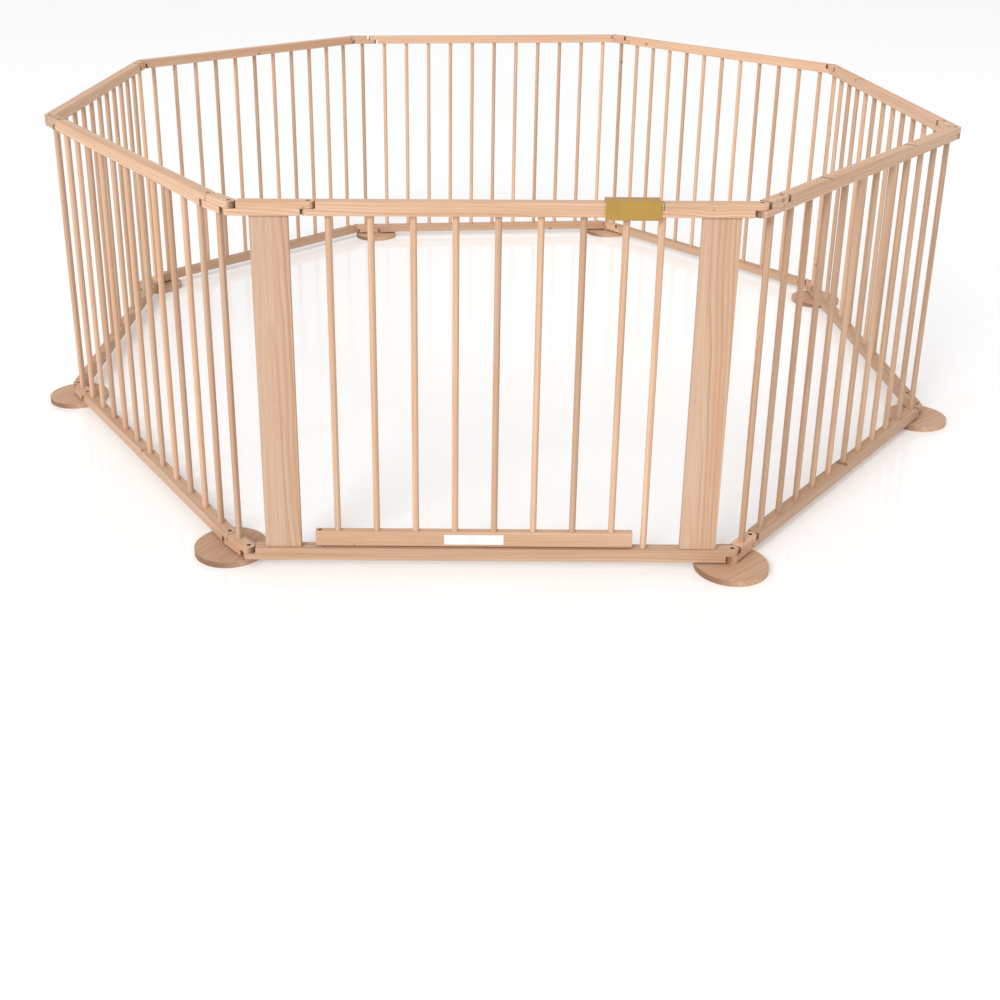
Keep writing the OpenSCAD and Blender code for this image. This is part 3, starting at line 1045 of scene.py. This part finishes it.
def make_floor(studio):
    mesh = bpy.data.meshes.new("Floor_shape")
    corners = [(x * FLOOR_HALF, y * FLOOR_HALF, 0) for x, y in ((-1, -1), (1, -1), (1, 1), (-1, 1))]
    mesh.from_pydata(corners, [], [(0, 1, 2, 3)])
    floor = bpy.data.objects.new("Floor", mesh)
    bpy.context.scene.collection.objects.link(floor)
    material, tree = new_material("Pale floor")
    close_material(
        tree,
        {
            "Base Color": full(studio.floor),
            "Roughness": FLOOR_ROUGHNESS,
            "Specular IOR Level": FLOOR_SHINE,
            "Emission Color": (1, 1, 1, 1),
            "Emission Strength": studio.glow,
        },
    )
    mesh.materials.append(material)


# Which way the light of the key lamp travels
KEY_WAY = (0.62, 1.0, -0.80)


def make_lights(studio):
    world = bpy.data.worlds.new("Even light")
    world.use_nodes = True
    world.node_tree.nodes.clear()
    tree = Tree(world.node_tree)
    # The backdrop is plain white to the camera, and lights the pen by the sky's strength
    seen = tree.add("ShaderNodeLightPath", out="Is Camera Ray")
    strength = seen * (1.0 - studio.sky) + studio.sky
    light = tree.add("ShaderNodeBackground", None, {"Color": (1, 1, 1, 1), "Strength": strength})
    tree.add("ShaderNodeOutputWorld", None, {"Surface": light})
    bpy.context.scene.world = world
    sun = bpy.data.lights.new("Key", "SUN")
    sun.energy = studio.key
    sun.angle = studio.spread
    holder = bpy.data.objects.new("Key", sun)
    bpy.context.scene.collection.objects.link(holder)
    holder.rotation_euler = Vector(KEY_WAY).to_track_quat("-Z", "Y").to_euler()


SENSOR_WIDTH = 36
SIGHT = 200


def make_camera(studio):
    lens = bpy.data.cameras.new("Camera")
    lens.sensor_width = SENSOR_WIDTH
    lens.lens = studio.lens
    lens.shift_x = studio.shift_x
    lens.shift_y = studio.shift_y
    lens.clip_end = SIGHT
    camera = bpy.data.objects.new("Camera", lens)
    bpy.context.scene.collection.objects.link(camera)
    level = Matrix.Rotation(math.pi / 2 - studio.pitch, 4, "X")
    turned = Matrix.Rotation(studio.yaw, 4, "Z") @ level @ Matrix.Rotation(studio.roll, 4, "Z")
    camera.matrix_world = Matrix.Translation(Vector(studio.camera_place)) @ turned
    bpy.context.scene.camera = camera


OPERATORS = (
    PLAYPEN_OT_plain_panels,
    PLAYPEN_OT_bars,
    PLAYPEN_OT_corners,
    PLAYPEN_OT_feet,
    PLAYPEN_OT_gate_panel,
    PLAYPEN_OT_latch,
    PLAYPEN_OT_studio,
)


class PLAYPEN_PT_panel(bpy.types.Panel):
    """Lists the playpen's sizes, colours and operators"""

    bl_idname = "PLAYPEN_PT_panel"
    bl_label = "Folding Playpen"
    bl_space_type = "VIEW_3D"
    bl_region_type = "UI"
    bl_category = "Playpen"

    def draw(self, context):
        for operator in OPERATORS:
            self.layout.operator(operator.bl_idname)
        for name, look in LOOKS.items():
            box = self.layout.box()
            for field in look.__annotations__:
                box.prop(getattr(context.scene, name), field)


def register():
    for look in LOOKS.values():
        bpy.utils.register_class(look)
    for operator in OPERATORS:
        bpy.utils.register_class(operator)
    bpy.utils.register_class(PLAYPEN_PT_panel)
    for name, look in LOOKS.items():
        setattr(bpy.types.Scene, name, PointerProperty(type=look))


def unregister():
    for name in LOOKS:
        delattr(bpy.types.Scene, name)
    bpy.utils.unregister_class(PLAYPEN_PT_panel)
    for operator in reversed(OPERATORS):
        bpy.utils.unregister_class(operator)
    for look in reversed(list(LOOKS.values())):
        bpy.utils.unregister_class(look)


def main():
    register()
    for operator in OPERATORS:
        group, name = operator.bl_idname.split(".")
        getattr(getattr(bpy.ops, group), name)()


if __name__ == "__main__":
    main()
